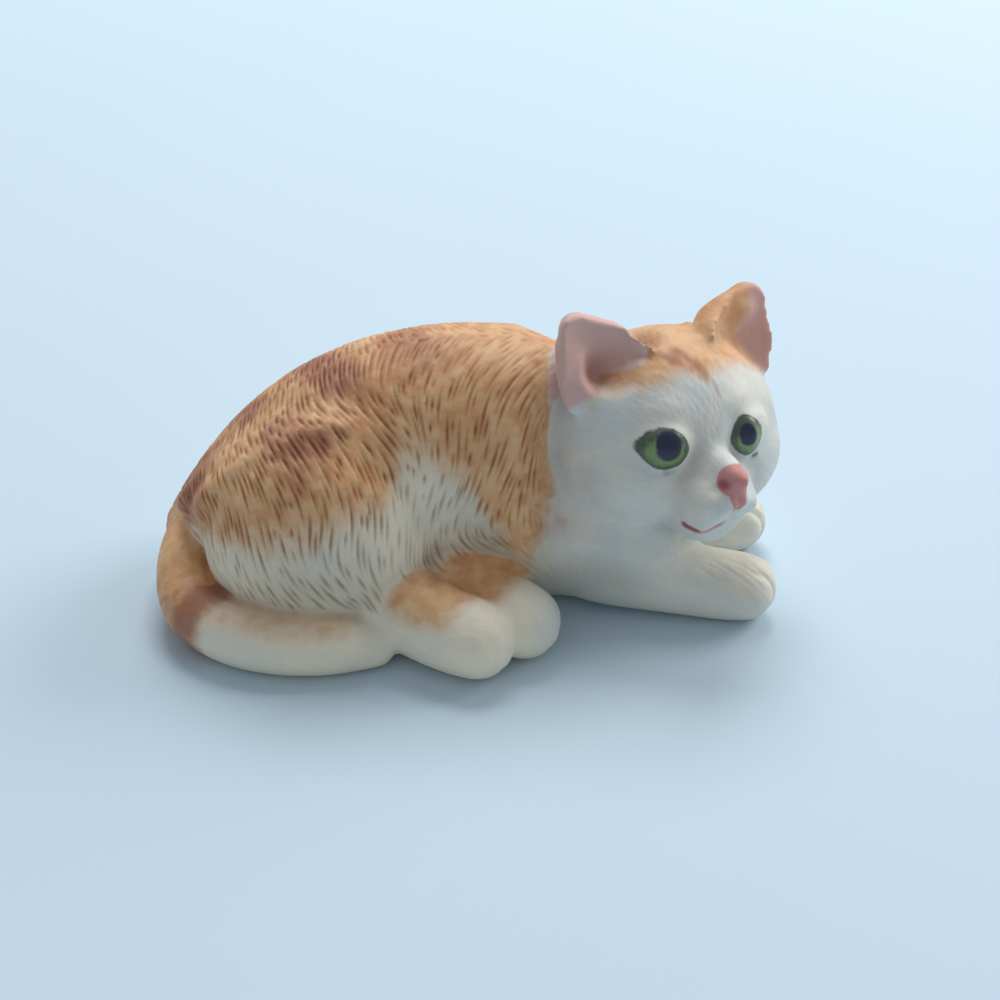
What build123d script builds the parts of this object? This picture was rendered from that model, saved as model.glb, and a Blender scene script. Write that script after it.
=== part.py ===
"""A lying kitten figurine in painted ceramic, in millimetres.

The kitten lies along X with its chest and head towards +X, and turns its face to its right, which is
-Y. Both hind legs are tucked out to that side, and the tail curls forward beside them. Z is up, every
piece stands on Z = 0, and the origin is on that plane, under the middle of the body.

The body and the head are hollow slip castings of even wall, open to each other at the neck and vented
through the foot of the body. Ears, legs, thigh and tail are solid castings that are luted on with
slip, each one trimmed to the surface that it sits on. The eyes are drops of enamel in shallow sockets.
"""

import os
from math import cos, radians, sin

from build123d import *

# ---------------------------------------------------------------- the castings

WALL = 2.2  # wall of the two hollow castings
SEAT_DEPTH = 1.5  # rounded undersides reach this far below the ground before they are cut flat
VENT_DIAMETER = 3.0  # firing vent through the foot of the body
VENT_X = -4.0
NECK_PASSAGE_DIAMETER = 4.0  # air passage from the body into the head
CAP_ANGLES = (28, 50, 68, 80)  # where the rounded end of a form has its sections, in degrees

# Torso, tail end to chest: X, middle Y, half width, height of the back.
TORSO = [
    (-34.2, -1.2, 2.4, 7.4),
    (-31.4, -1.0, 6.4, 12.2),
    (-26.0, 0.0, 10.4, 18.6),
    (-17.5, 0.5, 12.5, 25.2),
    (-6.5, 0.5, 12.8, 29.4),
    (5.0, 0.0, 12.6, 30.2),
    (12.5, -1.0, 12.0, 28.4),
    (18.5, -2.2, 10.6, 20.5),
    (23.0, -2.8, 7.8, 12.0),
    (25.0, -3.0, 4.2, 8.0),
]
CAVITY_FROM = -27.0  # the body's cavity stays between these stations
CAVITY_TO = 8.0

# ---------------------------------------------------------------- the head

HEAD_CENTRE = (22.2, -3.2, 19.2)
HEAD_YAW = -60.0  # from +X towards the kitten's right
HEAD_PITCH = 12.0  # nose up
HEAD_ROLL = -6.0  # left side down

# Egg shapes in the head's own axes, forward, left and up: centre, then half sizes.
CRANIUM = ((-2.1, 0.0, 0.8), (10.6, 12.8, 11.2))
CHEEK = ((0.7, 5.3, -2.2), (7.3, 6.7, 6.4))
MUZZLE = ((7.8, 0.0, -4.6), (5.8, 4.9, 4.2))
NOSE_BRIDGE = ((5.4, 0.0, -1.2), (8.4, 2.3, 2.8))
CHIN = ((6.6, 0.0, -6.9), (4.8, 3.8, 2.7))

EYE_AZIMUTH = 29.0  # from straight ahead, seen from the middle of the cranium
EYE_ELEVATION = 6.0
EYE_SIZE = (6.4, 4.6)  # width and height of an eye
EYE_DEPTH = 1.2  # thickness of the enamel drop, half of it below the surface

EAR_AZIMUTH = 88.0  # where the middle of an ear's root is on the cranium
EAR_ELEVATION = 49.0
EAR_WIDTH = 10.6
EAR_HEIGHT = 6.4
EAR_THICKNESS = 1.8
EAR_ROOT_DEPTH = 3.0  # how far the blade goes on down, before it is trimmed to the head
EAR_CUP_RADIUS = 7.6
EAR_TIP_RADIUS = 1.9
EAR_SHOULDER = 0.2  # height of the widest point, as a share of the ear's height
EAR_SHOULDER_RADIUS = 2.5
EAR_TIP_SHIFT = 2.2  # the tip leans to the outer edge
EAR_SPLAY = 18.0  # outward lean from upright
EAR_OPENING = 14.0  # how far the cup opens outwards from straight ahead

# ---------------------------------------------------------------- limbs: X, Y, Z, radius

RIGHT_FORELEG = [
    (13.0, -6.0, 6.2, 5.2),
    (19.0, -7.4, 4.9, 4.7),
    (25.5, -8.6, 3.9, 4.0),
    (30.4, -9.2, 3.5, 3.8),
]
LEFT_FORELEG = [
    (14.0, 2.6, 6.0, 5.0),
    (20.0, 3.4, 4.6, 4.4),
    (25.5, 4.0, 3.7, 3.8),
    (30.8, 4.4, 3.4, 3.6),
]
RIGHT_HIND_FOOT = [
    (-10.5, -12.4, 5.6, 5.0),
    (-6.0, -15.6, 4.9, 4.8),
    (-1.8, -18.6, 4.4, 4.5),
    (0.9, -20.0, 4.2, 4.3),
]
LEFT_HIND_FOOT = [
    (-5.0, -8.2, 6.2, 4.8),
    (0.4, -12.2, 5.0, 4.5),
    (4.2, -15.0, 4.2, 4.2),
    (6.0, -16.4, 4.0, 4.1),
]
TAIL = [
    (-28.6, 0.2, 8.0, 3.2),
    (-30.6, -3.4, 6.6, 3.3),
    (-31.4, -8.4, 4.9, 3.2),
    (-30.0, -13.6, 3.7, 3.2),
    (-26.0, -17.3, 3.2, 3.3),
    (-20.4, -19.2, 3.0, 3.3),
    (-14.4, -19.4, 2.8, 3.0),
    (-10.2, -18.6, 2.5, 2.5),
]

HAUNCH_CENTRE = (-16.0, -9.0, 9.8)
HAUNCH_SIZE = (12.8, 9.4, 13.2)  # half sizes along, across and up
HAUNCH_LEAN = -14.0  # the thigh slopes forward and down


# ---------------------------------------------------------------- shared shapes


def egg(centre, half_sizes, place=Location()):
    """An ellipsoid lofted along its own X, with tiny flats at the two ends."""
    length, width, height = half_sizes
    turns = [-angle for angle in reversed(CAP_ANGLES)] + [0, *CAP_ANGLES]
    with BuildPart() as made:
        for turn in turns:
            across = Plane(origin=(length * sin(radians(turn)), 0, 0), x_dir=(0, 1, 0), z_dir=(1, 0, 0))
            with BuildSketch(across):
                Ellipse(width * cos(radians(turn)), height * cos(radians(turn)))
        loft()
    return place * Location(centre) * made.part


def limb(points):
    """A round limb through its points, with rounded ends."""
    centres = [Vector(*point[:3]) for point in points]
    first = (centres[0] - centres[1]).normalized()
    last = (centres[-1] - centres[-2]).normalized()
    start_radius, end_radius = points[0][3], points[-1][3]
    sections = []
    for angle in reversed(CAP_ANGLES):
        step = sin(radians(angle)) * start_radius
        sections.append((centres[0] + first * step, first * -1, cos(radians(angle)) * start_radius))
    for i, point in enumerate(points):
        along = centres[min(i + 1, len(centres) - 1)] - centres[max(i - 1, 0)]
        sections.append((centres[i], along, point[3]))
    for angle in CAP_ANGLES:
        step = sin(radians(angle)) * end_radius
        sections.append((centres[-1] + last * step, last, cos(radians(angle)) * end_radius))
    with BuildPart() as made:
        for centre, along, radius in sections:
            with BuildSketch(Plane(origin=centre, x_dir=Vector(0, 0, 1).cross(along), z_dir=along)):
                Circle(radius)
        loft()
    return made.part


def torso_form(inset=0.0):
    """The torso's outer form, or its cavity when the inset is the wall."""
    with BuildPart() as made:
        for x, y, half_width, back in TORSO:
            if inset and not CAVITY_FROM < x < CAVITY_TO:
                continue
            half_height = (back + SEAT_DEPTH) / 2
            centre = (x, y, half_height - SEAT_DEPTH)
            floor_lift = inset and SEAT_DEPTH / 2
            with BuildSketch(Plane(origin=centre, x_dir=(0, 1, 0), z_dir=(1, 0, 0))):
                with Locations((0, floor_lift)):
                    Ellipse(half_width - inset, half_height - inset - floor_lift)
        loft()
    return made.part


def sided(centre, side):
    """A centre on the kitten's left, side 1, or on its right, side -1."""
    return (centre[0], side * centre[1], centre[2])


def on_cranium(azimuth, elevation):
    """The point of the cranium seen from its middle in that direction, and the outward normal there."""
    middle, half = Vector(*CRANIUM[0]), Vector(*CRANIUM[1])
    a, e = radians(azimuth), radians(elevation)
    way = Vector(cos(a) * cos(e), sin(a) * cos(e), sin(e))
    share = Vector(way.X / half.X, way.Y / half.Y, way.Z / half.Z).length
    offset = way * (1 / share)
    normal = Vector(offset.X / half.X**2, offset.Y / half.Y**2, offset.Z / half.Z**2)
    return middle + offset, normal.normalized()


HEAD_PLACE = (
    Location(HEAD_CENTRE)
    * Location((0, 0, 0), (0, 0, HEAD_YAW))
    * Location((0, 0, 0), (0, -HEAD_PITCH, 0))
    * Location((0, 0, 0), (HEAD_ROLL, 0, 0))
)


def head_form():
    """The head's outer form, without ears or eyes."""
    with BuildPart() as made:
        add(egg(*CRANIUM, HEAD_PLACE))
        for side in (1, -1):
            add(egg(sided(CHEEK[0], side), CHEEK[1], HEAD_PLACE))
        for shape in (MUZZLE, NOSE_BRIDGE, CHIN):
            add(egg(*shape, HEAD_PLACE))
    return made.part


def head_cavity():
    """The hollow of the head, one wall inside the cranium."""
    return egg(CRANIUM[0], [half - WALL for half in CRANIUM[1]], HEAD_PLACE)


def eye_drop(side):
    """A lens of enamel on the cranium, half of its depth below the surface."""
    point, normal = on_cranium(side * EYE_AZIMUTH, EYE_ELEVATION)
    place = HEAD_PLACE * Plane(origin=point, x_dir=Vector(0, 0, 1).cross(normal), z_dir=normal).location
    width, height = EYE_SIZE
    return egg((0, 0, 0), (width / 2, height / 2, EYE_DEPTH), place)


def ear_blade(side):
    """One cupped ear on the head, going on below the head's surface."""
    root, _ = on_cranium(side * EAR_AZIMUTH, EAR_ELEVATION)
    opening = Vector(cos(radians(EAR_OPENING)), side * sin(radians(EAR_OPENING)), 0)
    upright = Vector(0, side * sin(radians(EAR_SPLAY)), cos(radians(EAR_SPLAY)))
    upright = (upright - opening * upright.dot(opening)).normalized()
    width_way = upright.cross(opening)
    outer = 1 if width_way.Y * side > 0 else -1
    half = EAR_WIDTH / 2
    with BuildPart() as made:
        with BuildSketch(Plane(origin=root, x_dir=width_way, z_dir=opening)) as outline:
            with BuildLine():
                Polyline(
                    (-half, -EAR_ROOT_DEPTH),
                    (-half, EAR_HEIGHT * EAR_SHOULDER),
                    (outer * EAR_TIP_SHIFT, EAR_HEIGHT + EAR_TIP_RADIUS * 0.6),
                    (half, EAR_HEIGHT * EAR_SHOULDER),
                    (half, -EAR_ROOT_DEPTH),
                    close=True,
                )
            make_face()
            fillet(outline.vertices().sort_by(Axis.Y)[-1], EAR_TIP_RADIUS)
            fillet(outline.vertices().sort_by(Axis.Y)[2:4], EAR_SHOULDER_RADIUS)
        extrude(amount=EAR_CUP_RADIUS, both=True)
        cup_foot = root - upright * EAR_ROOT_DEPTH * 1.2 + opening * EAR_CUP_RADIUS
        with BuildSketch(Plane(origin=cup_foot, x_dir=width_way, z_dir=upright)) as cup:
            Circle(EAR_CUP_RADIUS + EAR_THICKNESS / 2)
            Circle(EAR_CUP_RADIUS - EAR_THICKNESS / 2, mode=Mode.SUBTRACT)
        extrude(cup.sketch, amount=EAR_HEIGHT * 2, mode=Mode.INTERSECT)
    return HEAD_PLACE * made.part


def haunch_form():
    """The thigh's outer form, reaching into the torso."""
    return egg((0, 0, 0), HAUNCH_SIZE, Location(HAUNCH_CENTRE, (0, HAUNCH_LEAN, 0)))


def neck_passage():
    """The air passage between the two hollows."""
    start, end = Vector(CAVITY_TO - 4, 0, 17), Vector(*HEAD_CENTRE)
    with BuildPart() as made:
        with BuildSketch(Plane(origin=start, z_dir=end - start)):
            Circle(NECK_PASSAGE_DIAMETER / 2)
        extrude(amount=(end - start).length)
    return made.part


torso, head, haunch = torso_form(), head_form(), haunch_form()
right_hind_limb = limb(RIGHT_HIND_FOOT)

# ---------------------------------------------------------------- hollow castings

with BuildPart() as body_shell:
    add(torso)
    split(bisect_by=Plane.XY, keep=Keep.TOP)
    add(torso_form(WALL), mode=Mode.SUBTRACT)
    add(head, mode=Mode.SUBTRACT)
    add(neck_passage(), mode=Mode.SUBTRACT)
    with Locations((VENT_X, 0, 0)):
        Cylinder(VENT_DIAMETER / 2, WALL * 3, mode=Mode.SUBTRACT)
body_shell.part.label = "body_shell"

with BuildPart() as head_shell:
    add(head)
    add(head_cavity(), mode=Mode.SUBTRACT)
    add(neck_passage(), mode=Mode.SUBTRACT)
    for side in (1, -1):
        add(eye_drop(side), mode=Mode.SUBTRACT)
head_shell.part.label = "head_shell"

# ---------------------------------------------------------------- ears and eyes

with BuildPart() as left_ear:
    add(ear_blade(1))
    add([head, torso], mode=Mode.SUBTRACT)
left_ear.part.label = "left_ear"

with BuildPart() as right_ear:
    add(ear_blade(-1))
    add([head, torso], mode=Mode.SUBTRACT)
right_ear.part.label = "right_ear"

with BuildPart() as left_eye:
    add(eye_drop(1))
left_eye.part.label = "left_eye"

with BuildPart() as right_eye:
    add(eye_drop(-1))
right_eye.part.label = "right_eye"

# ---------------------------------------------------------------- solid limbs

with BuildPart() as right_haunch:
    add(haunch)
    split(bisect_by=Plane.XY, keep=Keep.TOP)
    add(torso, mode=Mode.SUBTRACT)
right_haunch.part.label = "right_haunch"

with BuildPart() as right_hind_foot:
    add(right_hind_limb)
    split(bisect_by=Plane.XY, keep=Keep.TOP)
    add([torso, haunch], mode=Mode.SUBTRACT)
right_hind_foot.part.label = "right_hind_foot"

with BuildPart() as left_hind_foot:
    add(limb(LEFT_HIND_FOOT))
    split(bisect_by=Plane.XY, keep=Keep.TOP)
    add([torso, haunch, right_hind_limb], mode=Mode.SUBTRACT)
left_hind_foot.part.label = "left_hind_foot"

with BuildPart() as tail:
    add(limb(TAIL))
    split(bisect_by=Plane.XY, keep=Keep.TOP)
    add([torso, haunch, right_hind_limb], mode=Mode.SUBTRACT)
tail.part.label = "tail"

with BuildPart() as right_foreleg:
    add(limb(RIGHT_FORELEG))
    split(bisect_by=Plane.XY, keep=Keep.TOP)
    add([torso, head], mode=Mode.SUBTRACT)
right_foreleg.part.label = "right_foreleg"

with BuildPart() as left_foreleg:
    add(limb(LEFT_FORELEG))
    split(bisect_by=Plane.XY, keep=Keep.TOP)
    add([torso, head], mode=Mode.SUBTRACT)
left_foreleg.part.label = "left_foreleg"

# ---------------------------------------------------------------- one file for each piece

os.makedirs("parts", exist_ok=True)
export_step(body_shell.part, "parts/body_shell.step")
export_step(head_shell.part, "parts/head_shell.step")
export_step(left_ear.part, "parts/left_ear.step")
export_step(right_ear.part, "parts/right_ear.step")
export_step(left_eye.part, "parts/left_eye.step")
export_step(right_eye.part, "parts/right_eye.step")
export_step(right_haunch.part, "parts/right_haunch.step")
export_step(right_hind_foot.part, "parts/right_hind_foot.step")
export_step(left_hind_foot.part, "parts/left_hind_foot.step")
export_step(tail.part, "parts/tail.step")
export_step(right_foreleg.part, "parts/right_foreleg.step")
export_step(left_foreleg.part, "parts/left_foreleg.step")
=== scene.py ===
"""A lying kitten figurine, modelled as one piece of clay, combed, cut at its luting seams and painted.

The clay starts from copies of the figurine's own solids. It is fused, smoothed, sculpted and combed at
a scale of one unit to the millimetre, then cut into the same castings, each of which stands for its
solid. Pigment masks are laid on the clay and follow each casting.
"""

import math
import random

import bmesh
import bpy
import numpy as np
from bpy.props import FloatProperty, FloatVectorProperty, IntProperty, PointerProperty
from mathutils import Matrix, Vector
from mathutils.bvhtree import BVHTree
from mathutils.kdtree import KDTree


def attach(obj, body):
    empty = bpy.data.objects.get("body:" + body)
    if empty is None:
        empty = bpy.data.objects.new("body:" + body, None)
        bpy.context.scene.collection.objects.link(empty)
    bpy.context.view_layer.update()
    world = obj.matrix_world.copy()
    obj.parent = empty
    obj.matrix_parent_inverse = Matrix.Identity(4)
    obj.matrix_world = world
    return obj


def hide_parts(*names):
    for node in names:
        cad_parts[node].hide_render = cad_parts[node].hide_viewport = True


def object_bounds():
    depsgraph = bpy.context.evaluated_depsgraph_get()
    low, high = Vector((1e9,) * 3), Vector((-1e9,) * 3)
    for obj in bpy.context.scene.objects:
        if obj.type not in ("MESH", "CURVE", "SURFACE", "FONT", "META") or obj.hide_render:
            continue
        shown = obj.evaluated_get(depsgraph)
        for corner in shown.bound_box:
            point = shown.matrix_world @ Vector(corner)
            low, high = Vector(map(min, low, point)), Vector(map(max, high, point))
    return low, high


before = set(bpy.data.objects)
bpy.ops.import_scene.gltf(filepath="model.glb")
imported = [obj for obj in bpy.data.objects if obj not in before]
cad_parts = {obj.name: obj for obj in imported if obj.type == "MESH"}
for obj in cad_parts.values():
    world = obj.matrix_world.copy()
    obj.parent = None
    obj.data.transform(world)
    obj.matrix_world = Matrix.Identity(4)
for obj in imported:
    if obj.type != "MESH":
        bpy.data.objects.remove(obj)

bl_info = {
    "name": "Painted Kitten Figurine",
    "version": (1, 0, 0),
    "blender": (4, 5, 0),
    "location": "3D View > Sidebar > Kitten",
    "description": "Models, combs, cuts and paints a small ceramic kitten on its fixed frame",
    "category": "Add Mesh",
}

CAD_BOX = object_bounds()
MM = 0.001
LUTED_NODES = ("left_ear", "right_ear", "tail", "right_hind_foot", "left_hind_foot", "right_foreleg",
               "left_foreleg", "right_haunch", "head_shell", "left_eye", "right_eye")

# Sizes and places on the bench, in millimetres.
VENT = (-4.0, 0.0)  # middle of the firing vent in the foot
VENT_RADIUS = 1.5
PLUG_RADIUS = 2.2  # of the clay that closes the vent until it is drilled
FUSING_GRAIN = 0.45  # of the clay while its pieces are fused
TOOL_GRAIN = 0.4  # of the cutting tools
BOX_MARGIN = 0.02  # how far the coat stays inside the frame's box
STROKE_STEP = 0.25  # length of one step of the comb
MOST_STARTS = 60000  # places where a stroke may start
ENAMEL_SINK = 0.08  # how deep the edge of the enamel lies in the clay
SHARP_ANGLE = 0.95  # an edge that turns further than this, in radians, stays sharp
MOUTH = ((8.2, -5.0, -5.9), (8.9, -4.15, -6.6), (10.0, -3.3, -6.9), (10.9, -1.8, -6.8), (11.0, 0.1, -6.4))
# Coils of clay, each two ends and a half width: along the top of the thigh, and, in the head's axes,
# beside the right ear and along the left one.
THIGH_COILS = (
    ((-27.5, -9.5, 15.0), (-21.0, -9.5, 20.0), 2.6), ((-21.0, -9.5, 20.0), (-13.0, -8.0, 23.0), 2.6),
    ((-30.0, -6.0, 13.0), (-22.0, -6.4, 20.0), 2.4), ((-22.0, -6.4, 20.0), (-12.0, -5.4, 23.6), 2.4),
)
EAR_COILS = (
    ((-2.5, -12.3, 12.0), (0.0, -12.6, 5.5), 1.1), ((-1.8, -11.0, 11.0), (0.6, -11.2, 6.0), 1.3),
    ((-2.0, 3.4, 10.6), (-2.0, 9.6, 14.3), 1.3), ((-1.6, 6.4, 10.6), (-1.6, 10.0, 12.6), 1.4),
)

# The stage, in metres and watts.
CAMERA_ELEVATION = math.radians(33)
CAMERA_DISTANCE = 0.2517
CAMERA_TARGET = (0.0035, 0, 0.009)
SKY = ((0.85, 0.93, 1.0, 1), 0.375)  # colour and strength
LAMPS = (  # name, place, size, power and tint
    ("window", (0.638, 0.368, 0.425), 0.45, 3.53, (1.0, 0.985, 0.96)),
    ("ceiling", (0.0, 0.488, 0.696), 0.45, 4.15, (0.95, 0.98, 1.0)),
)
bench = {}  # the clay and its pigment masks, between the steps

# How the fur is combed: a place, the way the hair runs there, and the reach of that guide. The
# torso's guides are for the right side and are mirrored for the left.
TORSO_COMB = (
    ((9, -3, 29), (-0.8, -0.5, -0.3), 5), ((6, -4.5, 29), (-0.7, -0.65, -0.3), 4),
    ((2, -5.5, 28.5), (-0.5, -0.7, -0.45), 4), ((-3.5, -5, 28), (-0.35, -0.8, -0.5), 4),
    ((-8.5, -3.5, 28), (-0.3, -0.85, -0.45), 4), ((-11.5, -2, 27.5), (0, -1, -0.2), 4),
    ((-15, -4, 25.5), (0.1, -0.95, -0.35), 4), ((-19.5, -2.5, 23), (0.05, -0.95, -0.25), 4),
    ((-9.5, -7.5, 25), (0.4, -0.7, -0.6), 3.5), ((-4, -10.5, 22), (0.1, -0.4, -0.9), 4),
    ((-1.5, -9.5, 24), (0.1, -0.55, -0.85), 4), ((1, -9.5, 24), (-0.1, -0.55, -0.85), 4),
    ((4, -8.5, 25.5), (-0.35, -0.55, -0.75), 4), ((4.5, -11.5, 20.5), (-0.45, -0.25, -0.85), 4),
    ((-2.5, -12, 17), (-0.45, -0.1, -0.9), 4), ((1, -12, 15.5), (-0.35, -0.05, -0.95), 5),
    ((-22, -9, 20), (0.35, -0.85, -0.2), 4), ((-27, -8, 15), (0.35, -0.8, -0.4), 4),
    ((8, -12, 12), (0, -0.1, -1), 5), ((14, -12, 10), (0.2, -0.1, -1), 5), ((24, -3, 8), (0.2, -0.1, -1), 6),
)
LIMB_COMB = (
    ((-13.5, -7, 24.5), (0.7, -0.6, -0.3), 3.5), ((-9.5, -9, 23.5), (0.8, -0.45, -0.45), 3.5),
    ((-14, -9.5, 22), (0.6, -0.7, -0.35), 4), ((-11, -14, 19.5), (0.25, -0.6, -0.75), 4),
    ((-17, -10, 21.5), (0.5, -0.75, -0.3), 4), ((-13.5, -14.5, 20), (0.4, -0.55, -0.7), 4),
    ((-22, -8.5, 20.5), (0.4, -0.8, -0.2), 4), ((-21, -14, 19), (0.45, -0.65, -0.55), 4),
    ((-26, -11, 15), (0.4, -0.6, -0.6), 4), ((-27, -13.5, 11), (0.05, -0.2, -1), 4),
    ((-22, -16.5, 15), (0.1, -0.35, -0.95), 4), ((-21.5, -17.5, 9), (0.35, 0, -0.95), 4),
    ((-19, -18, 8.5), (0.45, 0, -0.9), 4), ((-17, -18, 10.5), (0.55, -0.1, -0.8), 4),
    ((-13.5, -18, 9), (0.6, 0.1, -0.8), 4), ((-14.5, -17.5, 15), (-0.4, -0.3, -0.85), 3.5),
    ((-8.5, -18, 10), (0.5, -0.4, -0.8), 4), ((-8.5, -16, 14), (-0.15, -0.35, -0.9), 4),
    ((-6, -14, 13), (-0.05, -0.35, -0.95), 4),
    ((-31, -6.5, 9), (0.65, -0.75, -0.1), 3), ((-31, -8.5, 7.5), (0.8, -0.5, -0.3), 3),
    ((-29, -14, 6), (0.85, -0.5, -0.1), 3), ((-26.5, -18.5, 6), (0.9, -0.4, 0), 3),
    ((-19, -21, 5.5), (1, 0, 0.05), 4), ((-12, -20.5, 5.5), (1, 0.2, -0.05), 3),
    ((-3, -17.5, 9), (0.95, -0.3, -0.15), 4), ((-0.5, -22.5, 5.5), (0.95, -0.2, -0.25), 4),
    ((3, -14.5, 9), (0.95, -0.3, -0.2), 4), ((25, -11.5, 7), (0.85, -0.25, -0.5), 4),
    ((28.5, -12, 5), (0.75, -0.25, -0.6), 4), ((31, -11, 5.5), (0.75, -0.3, -0.6), 4),
    ((20, -12, 7), (0.7, 0, -0.6), 4), ((27, 4, 5), (1, 0, -0.1), 5),
)


def smoothstep(values, low, high):
    """0 below low, 1 above high, and a smooth rise between them; low may be the larger one."""
    t = np.clip((values - low) / (high - low), 0, 1)
    return t * t * (3 - 2 * t)


def unit(vectors):
    return vectors / np.maximum(np.linalg.norm(vectors, axis=-1, keepdims=True), 1e-9)


# ------------------------------------------------------------------ the clay


def node_points(name):
    """A node's vertices in millimetres."""
    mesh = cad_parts[name].data
    points = np.empty(len(mesh.vertices) * 3)
    mesh.vertices.foreach_get("co", points)
    return points.reshape(-1, 3) / MM


def node_clay(names, hull=False):
    """Merged copies of nodes in one mesh, in millimetres; each as its convex hull if asked."""
    clay = bmesh.new()
    for name in names:
        copy = bmesh.new()
        copy.from_mesh(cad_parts[name].data)
        bmesh.ops.remove_doubles(copy, verts=copy.verts, dist=1e-7)
        bmesh.ops.scale(copy, vec=(1 / MM,) * 3, verts=copy.verts)
        if hull:
            made = bmesh.ops.convex_hull(copy, input=copy.verts)
            unused = made["geom_interior"] + made["geom_unused"]
            spare = [part for part in unused if isinstance(part, bmesh.types.BMVert)]
            bmesh.ops.delete(copy, geom=list(set(spare)), context="VERTS")
        mesh = bpy.data.meshes.new(name)
        copy.to_mesh(mesh)
        copy.free()
        clay.from_mesh(mesh)
        bpy.data.meshes.remove(mesh)
    return clay


def finished(mesh, kind, **settings):
    """The mesh after one modifier."""
    holder = bpy.data.objects.new("bench", mesh)
    bpy.context.scene.collection.objects.link(holder)
    modifier = holder.modifiers.new("step", kind)
    for key, value in settings.items():
        setattr(modifier, key, value)
    graph = bpy.context.evaluated_depsgraph_get()
    result = bpy.data.meshes.new_from_object(holder.evaluated_get(graph))
    bpy.data.objects.remove(holder)
    bpy.data.meshes.remove(mesh)
    return result


def remesh(mesh, voxel):
    return finished(mesh, "REMESH", mode="VOXEL", voxel_size=voxel, adaptivity=0.0)


def outer_island(mesh):
    """Drops every closed shell inside the outermost one."""
    bm = bmesh.new()
    bm.from_mesh(mesh)
    bm.verts.ensure_lookup_table()
    seen, islands = set(), []
    for start in bm.verts:
        if start.index in seen:
            continue
        island, stack = [], [start]
        seen.add(start.index)
        while stack:
            vert = stack.pop()
            island.append(vert)
            for edge in vert.link_edges:
                other = edge.other_vert(vert)
                if other.index not in seen:
                    seen.add(other.index)
                    stack.append(other)
        islands.append(island)
    islands.sort(key=len)
    for island in islands[:-1]:
        bmesh.ops.delete(bm, geom=island, context="VERTS")
    bm.to_mesh(mesh)
    bm.free()
    return mesh


class Clay:
    """A mesh under the sculptor's hands: its points as an array, with the tools that move them."""

    def __init__(self, mesh):
        self.mesh = mesh
        count = len(mesh.vertices)
        flat = np.empty(count * 3)
        mesh.vertices.foreach_get("co", flat)
        self.points = flat.reshape(-1, 3)
        edges = np.empty(len(mesh.edges) * 2, dtype=np.int64)
        mesh.edges.foreach_get("vertices", edges)
        self.edges = edges.reshape(-1, 2)
        self.degree = np.bincount(self.edges.ravel(), minlength=count)[:, None]

    def settle(self):
        """Writes the moved points to the mesh."""
        self.mesh.vertices.foreach_set("co", self.points.ravel())
        self.mesh.update()

    def normals(self):
        self.settle()
        flat = np.empty(len(self.points) * 3, dtype=np.float32)
        self.mesh.vertex_normals.foreach_get("vector", flat)
        return flat.reshape(-1, 3).astype(float)

    def average(self, values):
        """Each point's value averaged over its neighbours."""
        a, b = self.edges.T
        count = len(values)
        total = np.zeros_like(values)
        for axis, part in enumerate(values.T):
            total[:, axis] = np.bincount(a, part[b], count) + np.bincount(b, part[a], count)
        return total / self.degree

    def smooth(self, times, amount=1.0):
        amount = np.broadcast_to(np.asarray(amount, float), (len(self.points),))[:, None]
        for _ in range(times):
            self.points += (self.average(self.points) - self.points) * 0.5 * amount

    def polish(self, times, amount=1.0):
        """Smooths without shrinking."""
        amount = np.broadcast_to(np.asarray(amount, float), (len(self.points),))[:, None]
        for _ in range(times):
            self.points += (self.average(self.points) - self.points) * 0.5 * amount
            self.points -= (self.average(self.points) - self.points) * 0.53 * amount

    def fill(self, times, amount=1.0):
        """Smooths the hollows only, as slip wiped along a joint does."""
        amount = np.broadcast_to(np.asarray(amount, float), (len(self.points),))[:, None]
        for turn in range(times):
            if turn % 6 == 0:
                normals = self.normals()
            move = (self.average(self.points) - self.points) * 0.5 * amount
            self.points += move - normals * np.minimum((move * normals).sum(1), 0)[:, None]

    def tree(self):
        self.settle()
        bm = bmesh.new()
        bm.from_mesh(self.mesh)
        tree = BVHTree.FromBMesh(bm)
        bm.free()
        return tree


def head_axes():
    """The head's own place and its axes, forward, left and up, from where its eyes are set."""
    sizes = bpy.context.scene.kitten_sizes
    left, right = node_points("left_eye"), node_points("right_eye")
    skull = node_points("head_shell").mean(0)
    looks = []
    for eye in (left, right):
        _, _, axes = np.linalg.svd(eye - eye.mean(0), full_matrices=False)
        looks.append(axes[2] * np.sign(axes[2] @ (eye.mean(0) - skull)))
    side = unit(left.mean(0) - right.mean(0))
    ahead = looks[0] + looks[1]
    ahead = unit(ahead - side * (ahead @ side))
    rise = np.cross(ahead, side)
    lift = sizes.eye_lift
    forward = ahead * math.cos(lift) - rise * math.sin(lift)
    up = rise * math.cos(lift) + ahead * math.sin(lift)
    middle = (left.mean(0) + right.mean(0)) / 2
    origin = middle - forward * sizes.eye_forward / MM - up * sizes.eye_rise / MM
    return origin, np.stack([forward, side, up])


class Head:
    """Points seen from the head: forward, left and up of its middle, in millimetres."""

    def __init__(self):
        self.origin, self.axes = head_axes()

    def local(self, points):
        return (points - self.origin) @ self.axes.T

    def world(self, places):
        return np.asarray(places, float) @ self.axes + self.origin

    def way(self, direction):
        return np.asarray(direction, float) @ self.axes


def ball(local, centre, radii):
    """1 at a place, falling smoothly to 0 at its radii."""
    d = np.linalg.norm((local - np.asarray(centre, float)) / np.asarray(radii, float), axis=-1)
    return smoothstep(d, 1.0, 0.0)


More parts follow.
